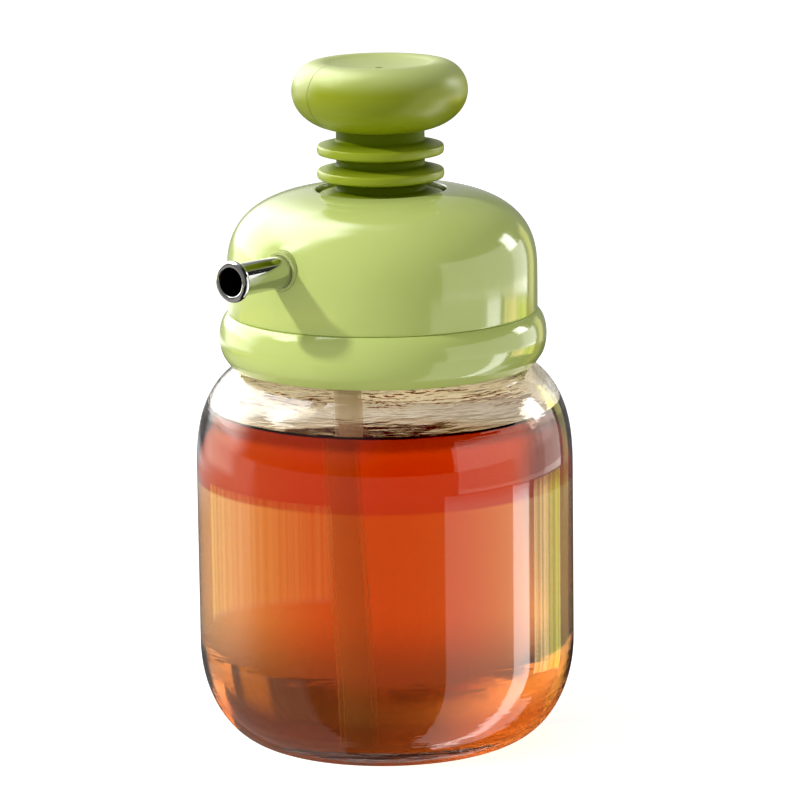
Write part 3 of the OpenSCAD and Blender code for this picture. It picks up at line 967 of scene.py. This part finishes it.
@dataclass
class Button:
    """The fat soft button: a ring with a shallow dish and an air hole, deeper below its widest place."""

    radius: float = box_mm("button")[1].x
    top: float = box_mm("button")[1].z
    core_top: float = box_mm("button_core")[1].z
    rise: float = 6.4
    drop: float = 8.4
    rim_reach: float = 5.9
    under_middle: float = 8.0
    dish_edge: float = 10.9
    dish_drop: float = 1.08
    dish_steps: int = 12
    vent: float = 0.9
    recess: float = 9.65
    core_recess: float = 9.15
    core_height: float = 1.6
    socket: float = 6.1
    socket_height: float = 5.1
    core_play: float = 0.1

    def build(self) -> None:
        """Builds the button."""
        middle = self.top - self.rise
        ring = Arch((self.radius - self.rim_reach, middle), (self.rim_reach, self.rise))
        low = Arch((self.under_middle, middle), (self.radius - self.under_middle, self.drop))
        lip = math.degrees(math.acos((self.dish_edge - ring.centre[0]) / self.rim_reach))
        edge = ring.point(lip)[1]
        seat = self.core_top - self.socket_height + self.core_play
        outline = Outline().to(self.vent, edge - self.dish_drop)
        for i in range(1, self.dish_steps):
            share = i / self.dish_steps
            outline.to(self.vent + (self.dish_edge - self.vent) * share,
                       edge - self.dish_drop * (1 - share * share))
        outline.along(ring, lip, 0.0, steps=40)
        outline.along(low, 0.0, -low.angle_at_radius(self.recess), steps=36)
        outline.to(self.recess, seat).to(self.core_recess, seat)
        outline.to(self.core_recess, seat + self.core_height).to(self.socket, seat + self.core_height)
        outline.to(self.socket, seat + self.socket_height).to(self.vent, seat + self.socket_height)
        stand_for(turned("soft_button", outline, ring=True, steps=192), "button", SOFT_GREEN)


# The oil's way out


@dataclass
class Spout:
    """The steel spout with its rolled lip, and its soft ring in the dome."""

    height: float = (box_mm("spout")[0].z + box_mm("spout")[1].z) / 2
    tip: float = -box_mm("spout")[0].y
    root: float = -box_mm("spout")[1].y
    bore: float = 3.0
    radius: float = 3.5
    lip_radius: float = 0.85
    lip_middle: float = 3.6
    lip_turn: Point = (-84.0, 128.0)
    mouth: float = 0.55
    end_bend: float = 0.1
    small_bend: float = 0.2
    steps: int = 96
    ring_inner: float = 3.55
    ring_outer: float = 4.25
    ring_front: float = -box_mm("spout_grommet")[0].y
    ring_back: float = 31.0

    def spindle(self) -> Spindle:
        """Gives the spout's own axis, whose heights run out from the dispenser's axis."""
        return Spindle((0.0, 0.0, self.height), (0.0, -1.0, 0.0), (1.0, 0.0, 0.0))

    def build_tube(self) -> None:
        """Builds the steel tube."""
        lip = Arch((self.lip_middle, self.tip - self.lip_radius), (self.lip_radius, self.lip_radius))
        outline = Outline().to(self.bore, self.root).to(self.radius, self.root, self.end_bend)
        outline.to(self.radius, lip.centre[1] - self.lip_radius, self.small_bend)
        outline.along(lip, *self.lip_turn, steps=20)
        outline.to(self.bore, self.tip - self.mouth, self.end_bend)
        stand_for(turned("steel_spout", outline, self.spindle(), self.steps, ring=True), "spout",
                  PolishedSteel("polished_steel_tube", self.bore, self.height))

    def build_ring(self) -> None:
        """Builds the soft ring round the tube in the dome's side hole."""
        outline = Outline().to(self.ring_inner, self.ring_back).to(self.ring_outer, self.ring_back)
        for radius in (self.ring_outer, self.ring_inner):
            outline.to(radius, self.ring_front, self.small_bend)
        ring = turned("spout_ring", outline, self.spindle(), self.steps, ring=True)
        stand_for(ring, "spout_grommet", OLIVE)

    def build(self) -> None:
        """Builds both pieces."""
        self.build_tube()
        self.build_ring()


@dataclass
class InnerWorks:
    """The pieces inside the lid that keep the shapes of the frame."""

    def finishes(self) -> dict[str, Finish]:
        """Gives the finish of each kept node."""
        return {"stopper": WHITE, "cover_ring": WHITE, "bellows_seat": WHITE, "bellows_clamp": WHITE,
                "button_core": WHITE, "outlet_elbow": WHITE, "plug_seal": SILICONE, "air_valve": SILICONE,
                "dip_tube": MILKY, "column_o_ring": BLACK, "spout_o_ring": BLACK}

    def build(self) -> None:
        """Dresses the kept nodes."""
        for node, finish in self.finishes().items():
            dress(frame["nodes"][node], finish)


# The studio


@dataclass(frozen=True)
class Panel:
    """A softly edged panel of light that only polished surfaces show, placed as seen from the dispenser.

    The bearing runs from the camera to its right, and the height is an angle too, all in degrees.
    """

    left: float
    right: float
    low: float
    high: float
    glow: float
    edge: float = 3.0
    rise_edge: float = 1.0
    colour: Colour = WHITE_LIGHT
    streaks: float = 0.0


@dataclass
class Studio:
    """Floor, lamp, surroundings and camera."""

    eye: Place = (0.6428, -0.766, 0.2797)
    aim: Place = (0.0, 0.0, 0.0737)
    roll: float = 0.8
    lens: float = 211.07
    shift: Point = (0.02, 0.00625)
    bearing: float = -50.0
    lamp_way: Place = (-0.429, -0.686, 0.588)
    lamp_size: float = 0.06
    lamp_power: float = 5.6
    clip: float = 0.01
    ambient: float = 0.55
    panels: tuple[Panel, ...] = (
        Panel(-190.0, -146.0, -9.8, 5.0, 0.3, 8.0, 3.0),
        Panel(-162.0, -106.0, 2.0, 46.0, 5.2, 24.0, 10.0),
        Panel(-140.0, -106.0, -9.5, 5.0, 3.0, 12.0, 3.0, (1.0, 0.97, 0.85)),
        Panel(-152.0, -78.0, 36.0, 74.0, 8.0, 30.0, 16.0),
        Panel(-95.0, -79.0, 30.0, 50.0, 9.0, 3.0, 4.0),
        Panel(-135.0, -33.0, -14.6, -12.3, 1.45, 2.0, 0.25, (1.0, 0.8, 0.25), 0.55),
        Panel(-150.0, -52.0, -75.0, -16.5, 0.5, 8.0, 1.5, (0.98, 0.92, 0.9), 0.2),
        Panel(36.0, 84.0, -75.0, -11.1, 1.5, 1.5, 0.3, (1.0, 0.97, 0.94), 0.1),
        Panel(84.0, 98.0, -75.0, -11.2, 6.5, 1.5, 0.6),
        Panel(96.0, 114.0, -75.0, -31.0, 1.6, 2.0, 2.0),
        Panel(103.0, 119.0, -19.0, -11.2, 6.5, 2.0, 0.6, (1.0, 0.78, 0.3), 0.6),
        Panel(119.0, 135.0, -19.0, -11.2, 3.2, 2.0, 0.6, (0.85, 0.9, 0.1), 0.4),
        Panel(135.0, 150.0, -30.0, -11.2, 0.5, 2.0, 0.6, (0.8, 0.6, 0.05)),
        Panel(45.0, 114.0, -10.95, -9.8, 3.3, 1.5, 0.2, DAYLIGHT, 0.15),
        Panel(45.0, 114.0, -9.8, 20.0, 1.8, 1.5, 0.2, DAYLIGHT, 0.15),
        Panel(114.0, 136.0, -10.95, -9.5, 5.2, 2.0, 0.2, DAYLIGHT),
        Panel(114.0, 136.0, -9.5, 10.0, 2.8, 2.0, 0.4, DAYLIGHT),
        Panel(113.0, 127.0, 10.0, 25.0, 10.0, 2.0, 2.0),
        Panel(141.0, 152.0, -12.0, 12.0, 1.6, 3.0, 4.0, (0.85, 0.8, 0.3)),
    )
    streak_pitch: float = 0.055
    streak_spread: Point = (0.35, 0.65)

    # Each fade is where a change starts and ends, and what it goes from and to
    back_glow: Fade = (110.0, 160.0, 0.12, 1.0)
    left_glow: Fade = (-0.5, 0.25, 1.9, 0.2)
    low_glow: Fade = (-13.2, -10.9, 0.1, 1.0)
    high_glow: Fade = (60.0, 88.0, 0.0, 0.25)
    right_unlit: Fade = (90.0, 135.0, 0.78, 0.0)
    left_unlit: Fade = (-172.0, -128.0, 0.0, 1.0)
    upper_light: Fade = (2.0, 18.0, 1.0, 1.75)

    floor_size: float = 30.0
    floor_tone: Colour = (0.8, 0.8, 0.8)
    floor_lift: float = 0.64
    floor_light: float = 1.2
    # Painted shadow: the floor darkens round the jar's foot, only for rays that come through the glass
    near_jar_shadow: Colour = (0.34, 0.23, 0.15)
    near_shadow_fade: Fade = (0.05, 0.11, 0.0, 1.0)
    front_dark: Fade = (-0.03, 0.05, 0.0, 1.0)
    dusk_window: Place = (-153.0, -98.0, 12.0)
    dusk: float = 0.85

    def compass(self, board: Board, east: Signal, north: Signal) -> tuple[Signal, Signal, Signal]:
        """Gives how far a way leads to the camera and to its right, and its bearing in degrees."""
        turn = math.radians(self.bearing)
        front = east * math.cos(turn) + north * math.sin(turn)
        right = north * math.cos(turn) - east * math.sin(turn)
        return front, right, board.compute("ARCTAN2", right, front) * DEGREES

    def build_floor(self) -> None:
        """Builds the pale floor, which mirrors don't show, with a painted shadow round the jar that only
        the glass shows.
        """
        bpy.ops.mesh.primitive_plane_add(size=self.floor_size)
        floor = bpy.context.object
        floor.name = "studio_floor"
        floor.visible_glossy = False
        board = Board(bpy.data.materials.new("pale_floor"))
        east, north, _ = board.spot()
        front, _, side = self.compass(board, east, north)
        dusk = board.window(side, *self.dusk_window) * self.dusk
        dark = dusk + board.mirrored() * (board.ramp(front, *self.front_dark) - dusk)
        # Painted shadow round the jar, seen only through the glass
        away = board.ramp((east * east + north * north) ** 0.5, *self.near_shadow_fade)
        tone = board.mix(away, self.near_jar_shadow, WHITE_LIGHT)
        tone = board.mix(dark / self.floor_light, tone, NO_LIGHT)
        through = board.node("ShaderNodeEmission", inputs={"Color": tone, "Strength": self.floor_light})
        matt = board.node("ShaderNodeBsdfDiffuse", inputs={"Color": self.floor_tone})
        lift = board.node("ShaderNodeEmission", inputs={
            "Color": WHITE_LIGHT, "Strength": board.ray(Ray.CAMERA) * self.floor_lift})
        seen = board.node("ShaderNodeAddShader", inputs={0: matt, 1: lift})
        board.finish(board.blend(board.ray(Ray.TRANSMISSION), seen, through))
        floor.data.materials.append(board.owner)

    def build_lamp(self) -> None:
        """Builds the small key lamp, which mirrors don't show."""
        way = Vector(self.lamp_way).normalized()
        bpy.ops.object.light_add(type="AREA", location=Vector(self.aim) + way,
                                 rotation=way.to_track_quat("Z", "Y").to_euler())
        lamp = bpy.context.object
        lamp.name = "key_lamp"
        lamp.data.shape, lamp.data.size, lamp.data.energy = "DISK", self.lamp_size, self.lamp_power
        lamp.visible_glossy = lamp.visible_transmission = False

    def build_world(self) -> None:
        """Paints the surroundings: white behind, soft panels for polished surfaces, dusk at the sides."""
        world = bpy.data.worlds.new("studio")
        bpy.context.scene.world = world
        board = Board(world)
        east, north, up = board.spot("Generated")
        _, right, side = self.compass(board, east, north)
        rise = board.compute("ARCSINE", up) * DEGREES
        around = board.compute("ABSOLUTE", side)
        glow = board.ramp(around, *self.back_glow) * board.ramp(right, *self.left_glow)
        glow = glow * board.ramp(rise, *self.low_glow) + board.ramp(rise, *self.high_glow)
        colour = WHITE_LIGHT
        for panel in self.panels:
            mask = board.window(side, panel.left, panel.right, panel.edge)
            mask = mask * board.window(rise, panel.low, panel.high, panel.rise_edge)
            shine = panel.glow
            if panel.streaks:
                streaks = board.node("ShaderNodeTexNoise", {"noise_dimensions": "1D"},
                                     {"W": side * self.streak_pitch})
                shine = board.ramp(streaks, *self.streak_spread, panel.glow,
                                   panel.glow * (1.0 - panel.streaks))
            glow = glow + mask * (shine - glow)
            colour = board.mix(mask, colour, panel.colour)
        unlit = board.ramp(side, *self.right_unlit) * board.ramp(side, *self.left_unlit)
        through = (1.0 - board.mirrored() * unlit) * board.ramp(rise, *self.upper_light)
        light = board.ray(Ray.GLOSSY) * (glow - self.ambient) + self.ambient
        light = light + board.ray(Ray.TRANSMISSION) * (through - self.ambient)
        light = light + board.ray(Ray.CAMERA) * (1.0 - self.ambient)
        hue = board.mix(board.ray(Ray.GLOSSY), WHITE_LIGHT, colour)
        board.finish(board.node("ShaderNodeBackground", inputs={"Color": hue, "Strength": light}))

    def build_camera(self) -> None:
        """Builds the camera at the photograph's viewing angle."""
        back = (Vector(self.eye) - Vector(self.aim)).normalized()
        level = Vector((0.0, 0.0, 1.0)).cross(back).normalized()
        lean = math.radians(self.roll)
        up = back.cross(level) * math.cos(lean) + level * math.sin(lean)
        right = up.cross(back)
        turn = Matrix((right, up, back)).transposed().to_euler()
        bpy.ops.object.camera_add(location=self.eye, rotation=turn)
        camera = bpy.context.object
        camera.name = "photo_camera"
        camera.data.lens = self.lens
        camera.data.shift_x, camera.data.shift_y = self.shift
        camera.data.clip_start = self.clip
        bpy.context.scene.camera = camera

    def build(self) -> None:
        """Builds the whole studio."""
        self.build_floor()
        self.build_lamp()
        self.build_world()
        self.build_camera()
        bpy.context.scene.view_settings.view_transform = "Standard"


def main() -> None:
    """Builds the dispenser and the studio round it."""
    logging.basicConfig(level=logging.INFO, format="%(name)s: %(message)s")
    for group in (Jar(), Lid(), Bellows(), Button(), Spout(), InnerWorks(), Studio()):
        group.build()
        LOG.info("built %s", type(group).__name__)


if __name__ == "__main__":
    main()
